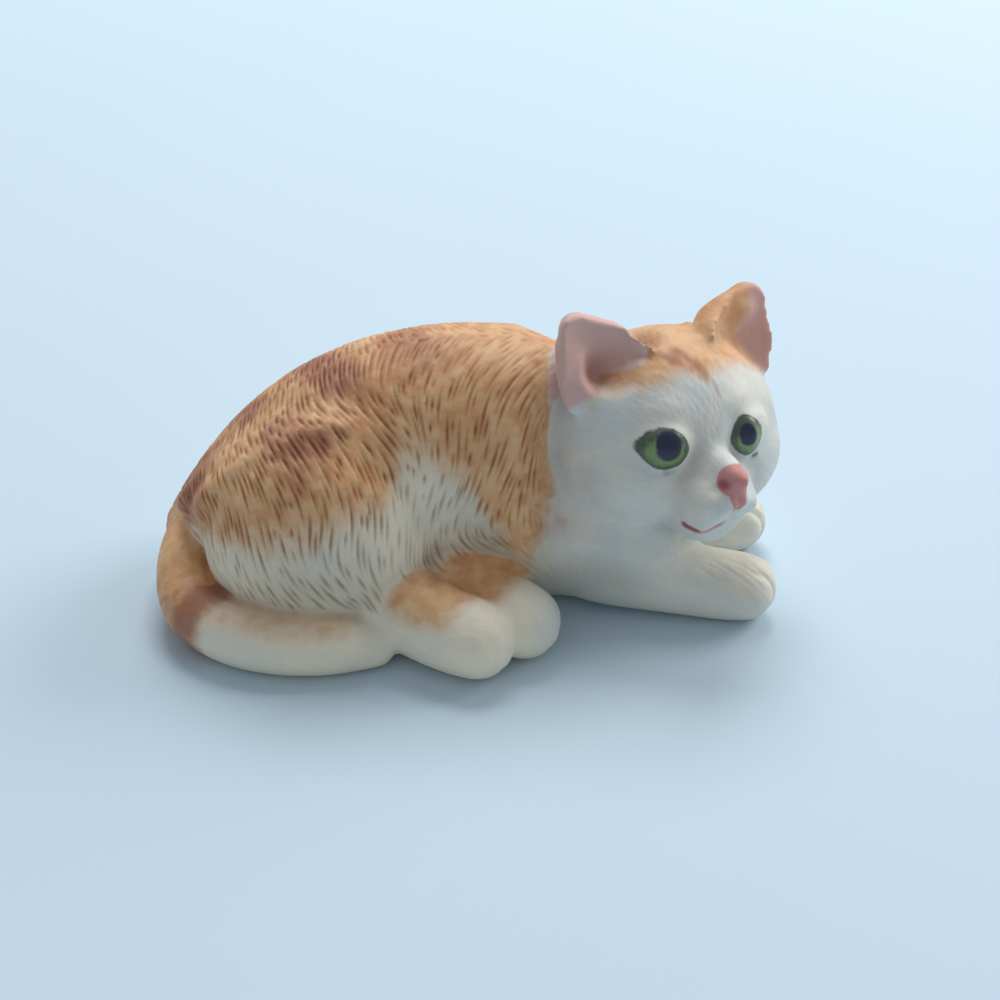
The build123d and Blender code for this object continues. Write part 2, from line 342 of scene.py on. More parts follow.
def stroke_distance(points, path):
    """The distance of each point from a path of straight runs, and the share of the path reached."""
    path = np.asarray(path, float)
    lengths = np.linalg.norm(np.diff(path, axis=0), axis=1)
    best = np.full(len(points), 1e9)
    share = np.zeros(len(points))
    travelled = 0.0
    for start, end, length in zip(path[:-1], path[1:], lengths):
        t = np.clip(((points - start) @ (end - start)) / length**2, 0, 1)
        d = np.linalg.norm(points - start - t[:, None] * (end - start), axis=1)
        nearer = d < best
        best[nearer] = d[nearer]
        share[nearer] = (travelled + t[nearer] * length) / lengths.sum()
        travelled += length
    return best, share


def carve(clay, head, path, width, depth):
    """A soft groove along a path in the head's axes, or a ridge when the depth is negative."""
    local = head.local(clay.points)
    distance, share = stroke_distance(local, path)
    fade = smoothstep(np.minimum(share, 1 - share), -0.02, 0.12)
    clay.points -= clay.normals() * (depth * fade * np.exp(-((distance / width) ** 2)))[:, None]


def press(clay, head, centre, radii, move):
    """Moves the clay around a place by a vector, both in the head's axes."""
    weight = ball(head.local(clay.points), centre, radii)
    clay.points += weight[:, None] * head.way(move)


def slim_neck(clay):
    """Draws the torso in behind the cheeks, so that the head's sides stand clear of it."""
    for vert in clay.verts:
        x, y, z = vert.co
        share = float(smoothstep(x, 4.5, 10.5) * smoothstep(z, 11, 19))
        vert.co.y = (y + 1) * (1 - 0.5 * share) - 1


def lay_coil(bm, start, end, width):
    """Adds a rounded coil of clay from one place to another."""
    start, end = Vector(start), Vector(end)
    coil = bmesh.ops.create_icosphere(bm, subdivisions=3, radius=1.0)["verts"]
    bmesh.ops.scale(bm, vec=(width, width, (end - start).length * 0.5 + width), verts=coil)
    turn = (end - start).to_track_quat("Z", "Y").to_matrix()
    bmesh.ops.rotate(bm, cent=(0, 0, 0), matrix=turn, verts=coil)
    bmesh.ops.translate(bm, vec=(start + end) * 0.5, verts=coil)

def fused_clay():
    """The figurine's whole outer form as one closed skin, with its luting seams wiped smooth."""
    head = bench["head"] = Head()
    bm = node_clay(("body_shell",))
    slim_neck(bm)
    plug = bmesh.ops.create_cone(bm, cap_ends=True, segments=24, radius1=PLUG_RADIUS, radius2=PLUG_RADIUS,
                                 depth=3.0)
    bmesh.ops.translate(bm, vec=(*VENT, 1.6), verts=plug["verts"])
    for start, end, width in THIGH_COILS:
        lay_coil(bm, start, end, width)
    for start, end, width in EAR_COILS:
        lay_coil(bm, head.world(start), head.world(end), width)
    rest = node_clay(LUTED_NODES)
    mesh = bpy.data.meshes.new("rest")
    rest.to_mesh(mesh)
    rest.free()
    bm.from_mesh(mesh)
    bm.to_mesh(mesh)
    bm.free()
    clay = Clay(outer_island(remesh(mesh, FUSING_GRAIN)))
    local = head.local(clay.points)
    x, _, z = clay.points.T
    fore, side, rise = local.T
    ears = smoothstep(rise - 0.25 * abs(side), 6.5, 9.0) * smoothstep(x, 4, 6)
    skull = smoothstep(np.linalg.norm(local / (14, 15, 14), axis=1), 1.05, 0.9)
    behind = smoothstep(fore, 1.5, -2.5) * smoothstep(side, -4, -8) * smoothstep(z, 17, 20)
    neck = smoothstep(np.linalg.norm((clay.points - (15, -4, 16)) / (14, 14, 16), axis=1), 1.1, 0.6)
    flank = ball(clay.points, (-18, -5, 22), (17, 10, 9))
    flank = np.maximum(flank, ball(clay.points, (-28, -7, 16), (10, 8, 7.5)))
    chest = ball(clay.points, (20, -8, 5), (14, 9, 9))
    joints = np.clip(np.maximum(neck * (1 - 0.85 * behind), np.maximum(flank * 1.8, chest * 1.4)), 0, 1)
    clay.polish(10, 1 - 0.3 * ears)
    thigh = np.clip(flank * 2.2, 0, 1) * (1 - ears) * (1 - skull)
    clay.fill(320, thigh)
    clay.polish(220, thigh)
    clay.fill(90, joints * (1 - ears) * (1 - skull * smoothstep(fore, 2, 5)))
    clay.fill(22, np.maximum(skull * (1 - ears), 0.9 * ears * (side > 0)) * (1 - 0.7 * behind))
    clay.fill(70, ball(local, (0, -10.6, 9.5), (5, 4.0, 6.5)))
    clay.fill(3)
    clay.polish(8)
    clay.settle()
    return clay


def slice_off(clay, head, place, facing, reach):
    """Presses the clay back to a plane that faces a way, both in the head's axes, within a reach."""
    facing = unit(np.asarray(facing, float))
    local = head.local(clay.points)
    proud = (local - np.asarray(place, float)) @ facing
    near = smoothstep(np.linalg.norm(local - np.asarray(place, float), axis=1), reach, reach * 0.7)
    excess = np.maximum(proud, 0) + 0.15 * np.exp(-np.abs(proud) / 0.3) * (proud > -1)
    clay.points -= (excess * near)[:, None] * head.way(facing)


def sculpt_head(clay, head):
    """Coarse shapes of the head: orbits, brow, muzzle, jaw and ears."""
    slice_off(clay, head, (13.0, 0.4, -4.3), (0.72, 0.18, -0.7), 7.5)
    for side in (1, -1):
        press(clay, head, (8.6, 3.0 * side, 1.6), (4, 2.2, 3.4), (-0.7, 0, 0))
        press(clay, head, (8.2, 7.4 * side, 1.2), (4, 3.0, 3.2), (-0.3, 0, 0))
        press(clay, head, (7.4, 5.0 * side, 5.4), (4, 4.2, 2.4), (0.35, 0, 0.1))
    press(clay, head, (11.4, -2.3, -3.6), (3.4, 2.8, 2.4), (0.2, -0.35, 0))
    press(clay, head, (11.4, 3.0, -3.4), (3.4, 2.6, 2.6), (-0.5, -0.6, 0.1))
    press(clay, head, (1.5, 12.0, 0.5), (9, 6, 8), (0, 1.1, 0))
    press(clay, head, (0, 11.5, 16.0), (7, 8, 7), (0, 1.0, 0))
    press(clay, head, (0, -11.0, 16.0), (7, 8, 7), (0, -0.4, -0.6))
    press(clay, head, (1.0, -8.6, 9.0), (4.6, 3.6, 3.0), (-2.0, -0.2, -0.9))
    press(clay, head, (-1.0, -3.4, 12.2), (4.5, 3.2, 3.0), (0, -1.2, -2.4))
    press(clay, head, (2.0, 9.4, 11.0), (3.6, 3.0, 4.0), (-0.9, 0, 0))
    clay.polish(3)


def sculpt_face(clay, head):
    """Fine shapes of the face: nose, nostrils, lip, mouth and the corners of the eyes."""
    press(clay, head, (13.2, -0.1, -1.3), (2.6, 2.9, 2.1), (0.5, 0, 0.15))
    for side in (1, -1):
        press(clay, head, (12.7, 1.6 * side - 0.1, -1.6), (1.6, 1.2, 1.1), (0.2, 0.2 * side, 0))
        carve(clay, head, ((12.9, 0.9 * side - 0.1, -1.9), (12.4, 1.7 * side - 0.1, -1.4)), 0.42, 0.35)
        carve(clay, head, ((11.6, 2.3 * side - 0.1, 0.4), (12.0, 2.6 * side - 0.1, -1.6),
                           (11.8, 2.0 * side, -2.8)), 0.6, 0.22)
        tear = ((9.2, 3.0 * side, 0.8), (10.2, 2.6 * side, -0.2), (11.0, 2.4 * side, -0.9))
        carve(clay, head, tear, 0.5, 0.14)
    carve(clay, head, ((13.0, -0.1, -2.8), (12.9, 0, -4.2), (11.4, 0.1, -6.0)), 0.4, 0.3)
    carve(clay, head, MOUTH, 0.4, 0.4)
    carve(clay, head, [(fore, 0.2 - side, rise) for fore, side, rise in MOUTH], 0.4, 0.35)
    clay.smooth(1)


def sculpt_feet(clay):
    """Toes: shallow cuts over the end of each foot."""
    for tip, along, cuts in (
        ((33.9, -9.2, 3.4), (1, -0.1, 0), 0.22), ((34.2, 4.4, 3.3), (1, 0.05, 0), 0.24),
        ((4.4, -22.6, 3.6), (0.79, -0.61, 0), 0.08), ((9.2, -18.8, 3.5), (0.79, -0.61, 0), 0.1),
    ):
        tip, along = np.array(tip), unit(np.array(along, float))
        across = unit(np.cross((0, 0, 1.0), along))
        offset = (clay.points - tip) @ across
        behind = (tip - clay.points) @ along
        near = smoothstep(behind, 3.4, 1.2) * smoothstep(np.linalg.norm(clay.points - tip, axis=1), 6.0, 4.0)
        for cut in (-1.7, 0.1, 1.8):
            line = np.exp(-(((offset - cut * (1 + 0.1 * behind)) / 0.34) ** 2))
            clay.points -= clay.normals() * (cuts * near * line)[:, None]


# ------------------------------------------------------------------ the combed fur


def hair_way(points, normals, head):
    """The way the hair runs at each point, along the surface."""
    mirrored = np.where(points[:, 1:2] > 0, (1, -1, 1), (1, 1, 1))
    way = np.zeros_like(points)
    for place, direction, reach in TORSO_COMB:
        distance = np.linalg.norm(points * mirrored - place, axis=1)
        way += np.exp(-((distance / reach) ** 2))[:, None] * np.array(direction) * mirrored
    for place, direction, reach in LIMB_COMB:
        distance = np.linalg.norm(points - np.array(place), axis=1)
        way += (2.5 * np.exp(-((distance / reach) ** 2)))[:, None] * np.array(direction)
    local = head.local(points)
    on_head = smoothstep(np.linalg.norm(local / (12.5, 13.5, 13), axis=1), 1.15, 0.85)
    away = unit((local - (13.5, 0.2, -2.0)) @ head.axes)
    way = unit(way + 1e-6) * (1 - on_head)[:, None] + away * (3 * on_head)[:, None]
    way -= normals * (way * normals).sum(1, keepdims=True)
    return unit(way)


def coarse_fur(points, head):
    """How deep the carved tufts are at each point, 0 to 1."""
    x, _, z = points.T
    local = head.local(points)
    depth = smoothstep(x, 11.5, 5.5) * smoothstep(z, 1.0, 3.0)
    depth *= 1 - 0.5 * ball(points, (6, -11, 9), (9, 9, 12)) - 0.3 * smoothstep(z, 26.5, 29.5)
    covers = ((TAIL_LINE, 4.4, 0.2), (RIGHT_FOOT_LINE, 5.4, 0.08), (LEFT_FOOT_LINE, 5.2, 0.08))
    for line, reach, left in covers:
        gap, _ = stroke_distance(points, line)
        depth *= 1 - (1 - left) * smoothstep(gap, reach, reach - 0.7) * smoothstep(z, 11, 9)
    depth = np.maximum(depth, 0.5 * ball(points, (29, -11, 5), (8, 5, 5)))
    return depth * smoothstep(np.linalg.norm((local + (2, 0, 0)) / (12.8, 13.8, 13.4), axis=1), 0.98, 1.06)


def fine_fur(points, head):
    """Where the hair is only scratched in, 0 to 1."""
    local = head.local(points)
    bald = np.zeros(len(points))
    for side in (1, -1):
        bald = np.maximum(bald, ball(local, (8.4, 5.0 * side, 1.9), (5, 4.6, 3.8)) * 2)
        bald = np.maximum(bald, ball(local, (2, 9.5 * side, 12), (5, 6, 7)) * 2)
    bald = np.maximum(bald, ball(local, (12.5, 0.2, -3.0), (4, 4, 4.5)) * 2)
    return (1 - np.clip(bald, 0, 1)) * smoothstep(points[:, 2], 0.6, 2.5)


def comb(tree, face_ways, seeds, gap, shortest, longest, source):
    """Evenly spaced strokes along the hair, each a list of points, from random starts."""
    cells, strokes = {}, []

    def crowded(point, reach):
        cx, cy, cz = (int(math.floor(c / gap)) for c in point)
        for i in (cx - 1, cx, cx + 1):
            for j in (cy - 1, cy, cy + 1):
                for k in (cz - 1, cz, cz + 1):
                    for other in cells.get((i, j, k), ()):
                        if (other - point).length_squared < reach * reach:
                            return True
        return False

    step = STROKE_STEP
    for seed in seeds:
        start = Vector(seed)
        if crowded(start, gap):
            continue
        length = source.uniform(shortest, longest)
        line = [start]
        for sign in (1, -1):
            point, run, travelled = start, [], 0.0
            while travelled < length / 2:
                hit, _, face, _ = tree.find_nearest(point)
                way = face_ways[face] * sign
                moved, _, _, _ = tree.find_nearest(hit + Vector(way) * step)
                if crowded(moved, gap * 0.62) or (moved - point).length < step * 0.3:
                    break
                run.append(moved)
                point = moved
                travelled += step
            line = line + run if sign == 1 else run[::-1] + line
        if (len(line) - 1) * step < shortest * 0.55:
            continue
        for point in line:
            cells.setdefault(tuple(int(math.floor(c / gap)) for c in point), []).append(point)
        strokes.append(line)
    return strokes


def stroke_depth(clay, strokes, where, width, source):
    """How deep each point lies in the nearest stroke, 0 to 1."""
    samples, depths = [], []
    for line in strokes:
        strength = source.uniform(0.65, 1.0)
        count = len(line) - 1
        for i in range(count):
            for part in (0.0, 0.5):
                share = (i + part) / count
                samples.append(line[i].lerp(line[i + 1], part))
                depths.append(strength * min(1.0, 2.6 * share) ** 0.7 * min(1.0, 2.0 * (1 - share)) ** 0.8)
    tree = KDTree(len(samples))
    for i, point in enumerate(samples):
        tree.insert(point, i)
    tree.balance()
    depth = np.zeros(len(clay.points))
    for i in np.nonzero(where > 0.02)[0]:
        _, sample, distance = tree.find(clay.points[i])
        depth[i] = depths[sample] * math.exp(-((distance / width) ** 2))
    return depth


def comb_fur(clay, head):
    """Combs the strokes and scratches of the coat into the clay, and notes where they are."""
    sizes = bpy.context.scene.kitten_sizes
    source = random.Random(sizes.seed)
    normals = clay.normals()
    ways = hair_way(clay.points, normals, head)
    tree = clay.tree()
    loops = np.empty(len(clay.mesh.polygons), dtype=np.int64)
    clay.mesh.polygons.foreach_get("loop_start", loops)
    corners = np.empty(len(clay.mesh.loops), dtype=np.int64)
    clay.mesh.loops.foreach_get("vertex_index", corners)
    face_ways = ways[corners[loops]]
    coarse, fine = coarse_fur(clay.points, head), fine_fur(clay.points, head)
    groove = np.zeros(len(clay.points))
    gap = sizes.tuft_gap / MM
    for where, spacing, shortest, longest, width, depth in (
        (coarse, gap, 2.6, 9.0, 0.21, sizes.tuft_depth / MM),
        (fine * (1 - smoothstep(coarse, 0.1, 0.5)), gap * 0.62, 1.6, 4.0, 0.22, sizes.tuft_depth / MM * 0.2),
    ):
        seeds = [clay.points[i] for i in np.nonzero(where > 0.25)[0]]
        source.shuffle(seeds)
        strokes = comb(tree, face_ways, seeds[:MOST_STARTS], spacing, shortest, longest, source)
        line = stroke_depth(clay, strokes, where, width, source)
        clay.points -= normals * (where * depth * (line - 0.35))[:, None]
        groove += where * line * (depth / (sizes.tuft_depth / MM))
    clay.smooth(1, 0.25)
    return groove


def hollows(clay):
    """How deep each point lies in the creases, 0 to 1; shade is painted into them by this."""
    worn = Clay(clay.mesh)
    worn.smooth(160)
    depth = ((worn.points - clay.points) * clay.normals()).sum(1, keepdims=True)
    for _ in range(8):
        depth = worn.average(depth)
    return smoothstep(depth[:, 0], 0.05, 0.7)


# ------------------------------------------------------------------ the pigments

TAIL_LINE = ((-28.6, 0.2, 8), (-30.6, -3.4, 6.6), (-31.4, -8.4, 4.9), (-30, -13.6, 3.7), (-26, -17.3, 3.2),
             (-20.4, -19.2, 3), (-14.4, -19.4, 2.8), (-10.2, -18.6, 2.5))
RIGHT_FOOT_LINE = ((-6, -15.6, 4.9), (-1.8, -18.6, 4.4), (1.5, -20.6, 4.2))
LEFT_FOOT_LINE = ((-2, -10, 5.6), (2.5, -13.5, 4.8), (6.5, -16.6, 4.1))
# The tabby bands: a line over the back, its half width, and its strength.
BANDS = (
    (((-31, 3, 10), (-30.5, -2, 13), (-27.5, -8.5, 16.5)), 2.7, 0.95),
    (((-27, 8, 15), (-24.9, 1.8, 19.5), (-22.4, -3.6, 21.1)), 1.6, 0.6),
    (((-22, -4, 21), (-17.7, -9.6, 22), (-12.5, -12.5, 21)), 2.6, 0.75),
    (((-19, 9, 20), (-16.2, 1.4, 25.8), (-13.2, -4, 26.4), (-10.2, -8, 25)), 1.7, 0.8),
    (((-8, 9, 24), (-6.5, 0.9, 29.4), (-4, -3.4, 29.1), (-2.4, -7, 27.4)), 1.9, 0.6),
    (((4, 9, 26), (5.1, 2.1, 30), (6.7, -2.5, 29.8), (7.5, -6.5, 28)), 1.5, 0.4),
    (((9.5, -10, 25), (8.2, -12.6, 15), (8.5, -11, 9)), 1.8, 0.45),
)
# Each eye: its side, its middle across and up the face, its half sizes, and its pupil as shares of them.
EYES = {
    "right_eye": {"side": -1, "across": 5.9, "height": 1.8, "half": (2.65, 2.25),
                  "pupil_place": (0.02, 0.2), "pupil_half": (0.5, 0.72)},
    "left_eye": {"side": 1, "across": 4.25, "height": 1.7, "half": (2.0, 2.3),
                 "pupil_place": (0.06, 0.12), "pupil_half": (0.5, 0.55)},
}
EYE_PINCH = 0.3  # how far the corners of an eye are drawn to a point
CROWN_LINES = (  # on the crown, seen from above the head
    (((-4, -6.2, 0), (0, -5.0, 0), (2.4, -3.0, 0), (4.2, -1.6, 0), (5.6, -0.9, 0)), 0.9, 0.9),
    (((1.5, -2.6, 0), (3.4, -0.8, 0), (5.4, 0.6, 0), (6.8, 0.9, 0)), 0.8, 0.85),
    (((-4, -2, 0), (-1, -2.5, 0), (1.5, -1.5, 0)), 1.1, 0.6),
    (((5.6, 1.2, 0), (7.4, 1.5, 0)), 0.35, 0.5),
)
EAR_HAIRS = (
    (((1.0, 7.2, 9.8), (1.6, 8.8, 8.6), (1.2, 10.6, 7.6)), 0.45, 0.75),
    (((0.8, 8.0, 10.0), (1.4, 9.0, 9.4)), 0.4, 0.4),
)
TEAR_MARKS = (
    (((8.0, -6.4, -0.85), (8.3, -5.4, -1.0), (8.6, -4.4, -0.7)), 0.3, 0.9),
    (((8.0, 5.0, -0.9), (7.8, 6.2, -0.7)), 0.3, 0.9),
)


def eye_plane(points, head, eye):
    """Each point seen from the middle of an eye: towards the nose and up, as shares of its half sizes."""
    sizes = bpy.context.scene.kitten_sizes
    local = head.local(points)
    inward = eye["across"] - abs(local[:, 1])
    rise = local[:, 2] - eye["height"]
    turn = sizes.eye_turn
    a = (inward * math.cos(turn) - rise * math.sin(turn)) / eye["half"][0]
    b = (inward * math.sin(turn) + rise * math.cos(turn)) / eye["half"][1]
    return a, b


def eye_fields(points, head):
    """Distances from the middle of the nearer eye, 1 at the edge of its outline, its iris and its pupil."""
    local = head.local(points)
    fields = np.full((3, len(points)), 9.0)
    for eye in EYES.values():
        mine = (local[:, 1] * eye["side"] > 0) & (local[:, 0] > 3.0)
        a, b = (part[mine] for part in eye_plane(points, head, eye))
        pinch = 1 - EYE_PINCH * np.clip(a, -1.2, 1.2) ** 2
        fields[0, mine] = np.hypot(a, b / pinch)
        fields[1, mine] = np.hypot((a + 0.06) / 0.76, (b + 0.12) / 0.74)
        x, y = eye["pupil_place"]
        w, h = eye["pupil_half"]
        fields[2, mine] = np.hypot((a - x) / w, (b - y) / h)
    return fields


def strokes_mask(points, strokes):
    """The strongest of some painted strokes, each a path, a half width and a strength."""
    mask = np.zeros(len(points))
    for line, width, strength in strokes:
        gap, share = stroke_distance(points, line)
        ends = smoothstep(np.minimum(share, 1 - share), -0.02, 0.25)
        mask = np.maximum(mask, strength * ends * np.exp(-((gap / width) ** 2)))
    return mask


def paint_masks(clay, head, groove, crease_shade):
    """The pigment masks of the whole figurine, painted shade among them, one value from 0 to 1 for each
    point.
    """
    points, normals = clay.points, clay.normals()
    x, _, z = points.T
    local = head.local(points)
    fore, side, rise = local.T
    skull = np.linalg.norm((local - (-2.1, 0, 0.8)) / (10.6, 12.8, 11.2), axis=1)
    on_head = smoothstep(np.linalg.norm((local - (0, 0, 0.8)) / (14, 14.2, 13.5), axis=1), 1.04, 0.98)
    on_head *= smoothstep(fore + 0.25 * rise, -4.5, -2.0)
    ears = smoothstep(rise + 0.56 * abs(side), 12.4, 13.1) * smoothstep(abs(side), 4.0, 5.0)
    ears *= smoothstep(x, 8.4, 9.2)
    ears *= smoothstep(fore, -6.0, -4.5) * smoothstep(side + 3 * smoothstep(skull, 1.12, 1.0), 16.5, 15.5)
    ears *= np.where(side > 0, smoothstep(skull, 1.0, 1.06), smoothstep(skull, 0.86, 0.92))
    on_head = np.maximum(on_head, ears)

    edge = np.interp(x, (-34, -30, -27, -23, -14, -9, -6.5, -4, 0, 3.5, 6, 7.5, 9, 10.5, 13),
                     (7, 10, 12, 13.5, 15.5, 17, 20.5, 20.5, 18.5, 13, 8, 11, 16, 21, 26))
    body = smoothstep(z - edge, -4.5, 4.5)
    brow = np.interp(side, (-12, -10.5, -5.5, -2, 0.5, 2.5, 6, 12), (5.6, 6.0, 7.0, 8.0, 7.0, 7.6, 7.6, 5.0))
    crown = smoothstep(rise - brow, -0.9, 2.4) * smoothstep(fore, 9, 6)
    ginger = body * (1 - on_head) + crown * on_head

    tail_gap, tail_share = stroke_distance(points, TAIL_LINE)
    on_tail = smoothstep(tail_gap, 4.3, 3.7) * smoothstep(z, 12, 10)
    tail_ginger = np.maximum(smoothstep(tail_share, 0.6, 0.42), 0.55 * smoothstep(z, 3.6, 6.2))
    tail_ginger *= smoothstep(tail_share, 0.99, 0.9)
    ginger = ginger * (1 - on_tail) + tail_ginger * on_tail
    feet = np.zeros(len(points))
    for line, low in ((RIGHT_FOOT_LINE, 6.4), (LEFT_FOOT_LINE, 5.6)):
        gap, share = stroke_distance(points, line)
        on_foot = smoothstep(gap, 5.4, 4.6) * smoothstep(z, 12, 9.5)
        feet = np.maximum(feet, on_foot)
        top = smoothstep(z + 0.8 * (1 - share), low - 1.4, low + 3.0) * smoothstep(share, 1.0, 0.6)
        ginger = ginger * (1 - on_foot) + top * on_foot
    broad_bands = [(line, 1.9 * width, 0.95 * strength) for line, width, strength in BANDS]
    rust = strokes_mask(points, broad_bands) * (1 - on_head) * (1 - 0.8 * on_tail)
    plan = local * (1, 1, 0)
    rust = np.maximum(rust, 0.85 * ball(points, (-28.5, -7.5, 15.0), (6, 5.5, 6)) * (1 - on_tail))
    rust = np.maximum(rust, strokes_mask(plan, CROWN_LINES) * (1 - ears) * smoothstep(rise, 5, 6.5))
    rust = np.maximum(rust, strokes_mask(local, EAR_HAIRS))
    rust = np.maximum(rust, np.exp(-(((tail_share - 0.47) / 0.07) ** 2)) * on_tail)
    # Grey brown that is partly a real wash and partly painted shade: under the belly, low on the near flank,
    # under the thigh and on the low chest.
    umber_wash_and_shade = np.maximum(ball(points, (3, -12.5, 12), (10, 7, 14)), ball(points, (-3.5, -11, 6), (5, 6, 7)))
    umber_wash_and_shade = np.maximum(umber_wash_and_shade, 0.7 * ball(points, (-17, -18, 9), (14, 7, 10)))
    umber_wash_and_shade = np.maximum(umber_wash_and_shade, 0.6 * ball(points, (14, -12, 6), (10, 6, 9))) * (1 - feet) * (1 - on_tail) * 0.8

    paws = smoothstep(x, 17, 24) * smoothstep(z, 12, 9)
    pale = np.maximum(on_head, smoothstep(x, 6, 11)) * (1 - 0.45 * paws)
    front = smoothstep(normals @ head.way((0.98, 0, 0.1)), -0.45, 0.1) * ears
    far_ear = smoothstep(side - 0.35 * (rise - 8), 7.6, 9.6)
    mauve = front * np.where(side > 0, far_ear, 1.0)
    ginger = np.where(side > 0, np.maximum(ginger, ears), ginger * (1 - ears))
    nose = smoothstep(np.linalg.norm((local - (13.0, -0.1, -1.3)) / (2.8, 2.5, 2.1), axis=1), 1.0, 0.72)
    lip, share = stroke_distance(local, ((13.2, -0.1, -2.4), (13.0, 0.0, -4.9)))
    lip = smoothstep(lip, 1.5 - 0.6 * share, 0.9 - 0.4 * share)
    nose = np.maximum(nose, lip * smoothstep(fore, 10, 11.5))
    smile, share = stroke_distance(local, MOUTH)
    mouth = smoothstep(smile, 0.85, 0.4) * smoothstep(share, 0.1, 0.25) * smoothstep(share, 1.0, 0.85)
    rose = smoothstep(smile, 0.6, 0.25) * smoothstep(share, 0.12, 0.22) * smoothstep(share, 0.58, 0.46)
    for across, strength in ((-1.6, 0.85), (1.2, 0.5)):
        rose = np.maximum(rose, strength * ball(local, (12.5, across, -1.6), (2.0, 1.2, 1.2)))
    ink = strokes_mask(local, TEAR_MARKS)
    brown = ball(local, (0.3, -10.3, 6.9), (2.0, 1.3, 1.2))
    ochre = 0.8 * ball(local, (0.8, -10.9, 5.6), (2.0, 1.3, 1.2))
    return {
        "coat": (ginger, np.maximum(rust, brown), umber_wash_and_shade),
        "skin": (nose, mouth, mauve),
        "marks": (rose, ink, ochre),
        # relief holds the fur grooves, painted shade in the creases (less on the feet) and the pale share.
        "relief": (groove, crease_shade * (1 - 0.7 * feet), pale),
        "eye": tuple(eye_fields(points, head)),
    }


# ------------------------------------------------------------------ cutting the castings apart


def cutter(name, grow, hull=False):
    """A node's form, grown outwards, that cuts its casting out of the clay."""
    bm = node_clay((name,), hull)
    mesh = bpy.data.meshes.new("cutter")
    bm.to_mesh(mesh)
    bm.free()
    grown = Clay(remesh(mesh, TOOL_GRAIN))
    grown.smooth(2)
    grown.points += grown.normals() * grow
    grown.settle()
    mesh = outer_island(remesh(grown.mesh, TOOL_GRAIN))
    blade = Clay(mesh)
    blade.smooth(3)
    blade.settle()
    return mesh


def cut(mesh, tool, operation):
    """The clay after a cut by a closed tool mesh; the clay itself stays."""
    holder = bpy.data.objects.new("tool", tool)
    result = finished(mesh.copy(), "BOOLEAN", operation=operation, object=holder, solver="MANIFOLD")
    bpy.data.objects.remove(holder)
    return result


def set_masks(mesh, points, masks):
    """Gives a casting the pigment masks of the nearest clay."""
    tree = bench["tree"]
    nearest = np.array([tree.find(point)[1] for point in points])
    for name, parts in masks.items():
        layer = mesh.attributes.new(name, "FLOAT_VECTOR", "POINT")
        values = np.stack([part[nearest] for part in parts], axis=1)
        layer.data.foreach_set("vector", values.ravel())


def fire(mesh, names, piece_name, material):
    """Turns a cut mesh in millimetres into a finished casting that stands for its nodes."""
    bm = bmesh.new()
    bm.from_mesh(mesh)
    bmesh.ops.dissolve_degenerate(bm, edges=bm.edges, dist=1e-5)
    for edge in bm.edges:
        edge.smooth = not (edge.is_manifold and edge.calc_face_angle(0) > SHARP_ANGLE)
    for face in bm.faces:
        face.smooth = True
    bm.to_mesh(mesh)
    bm.free()
    points = np.empty(len(mesh.vertices) * 3)
    mesh.vertices.foreach_get("co", points)
    points = points.reshape(-1, 3)
    for layer in [a for a in mesh.attributes if a.name in bench["masks"]]:
        mesh.attributes.remove(layer)
    set_masks(mesh, points, bench["masks"])
    mesh.vertices.foreach_set("co", (points * MM).ravel())
    mesh.materials.clear()
    mesh.materials.append(material)
    mesh.update()
    mesh.name = piece_name
    piece = bpy.data.objects.new(piece_name, mesh)
    bpy.context.scene.collection.objects.link(piece)
    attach(piece, "root")
    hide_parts(*names)


def cast(name, piece_name, grow=1.0, hull=False):
    """Cuts one casting out of the clay and fires it."""
    if "clay" not in bench:
        raise RuntimeError("Model the clay first")
    tool = cutter(name, grow, hull)
    piece = cut(bench["clay"], tool, "INTERSECT")
    rest = cut(bench["clay"], tool, "DIFFERENCE")
    if not len(piece.polygons) or not len(rest.polygons):
        raise RuntimeError(f"Nothing was cut for {piece_name}")
    bpy.data.meshes.remove(tool)
    bpy.data.meshes.remove(bench["clay"])
    bench["clay"] = rest
    fire(piece, (name,), piece_name, painted_glaze())


# ------------------------------------------------------------------ glazes and enamel


class S:
    """A shader socket that can be used in sums and products."""

    def __init__(self, glaze, socket):
        self.glaze, self.socket = glaze, socket

    def math(self, operation, *others, clamp=False):
        inputs = dict(enumerate((self,) + others))
        return self.glaze.node("ShaderNodeMath", {"operation": operation, "use_clamp": clamp}, inputs)

    def __add__(self, other):
        return self.math("ADD", other)

    def __radd__(self, other):
        return self.math("ADD", other)

    def __sub__(self, other):
        return self.math("SUBTRACT", other)

    def __rsub__(self, other):
        return self * -1 + other

    def __mul__(self, other):
        return self.math("MULTIPLY", other)

    def __rmul__(self, other):
        return self.math("MULTIPLY", other)

    def clamp(self):
        return self.math("ADD", 0.0, clamp=True)

    def step(self, low, high):
        """A smooth rise from 0 at low to 1 at high; low may be the larger one."""
        if low > high:
            return 1 - self.step(high, low)
        inputs = {"Value": self, "From Min": low, "From Max": high}
        return self.glaze.node("ShaderNodeMapRange", {"interpolation_type": "SMOOTHSTEP"}, inputs)


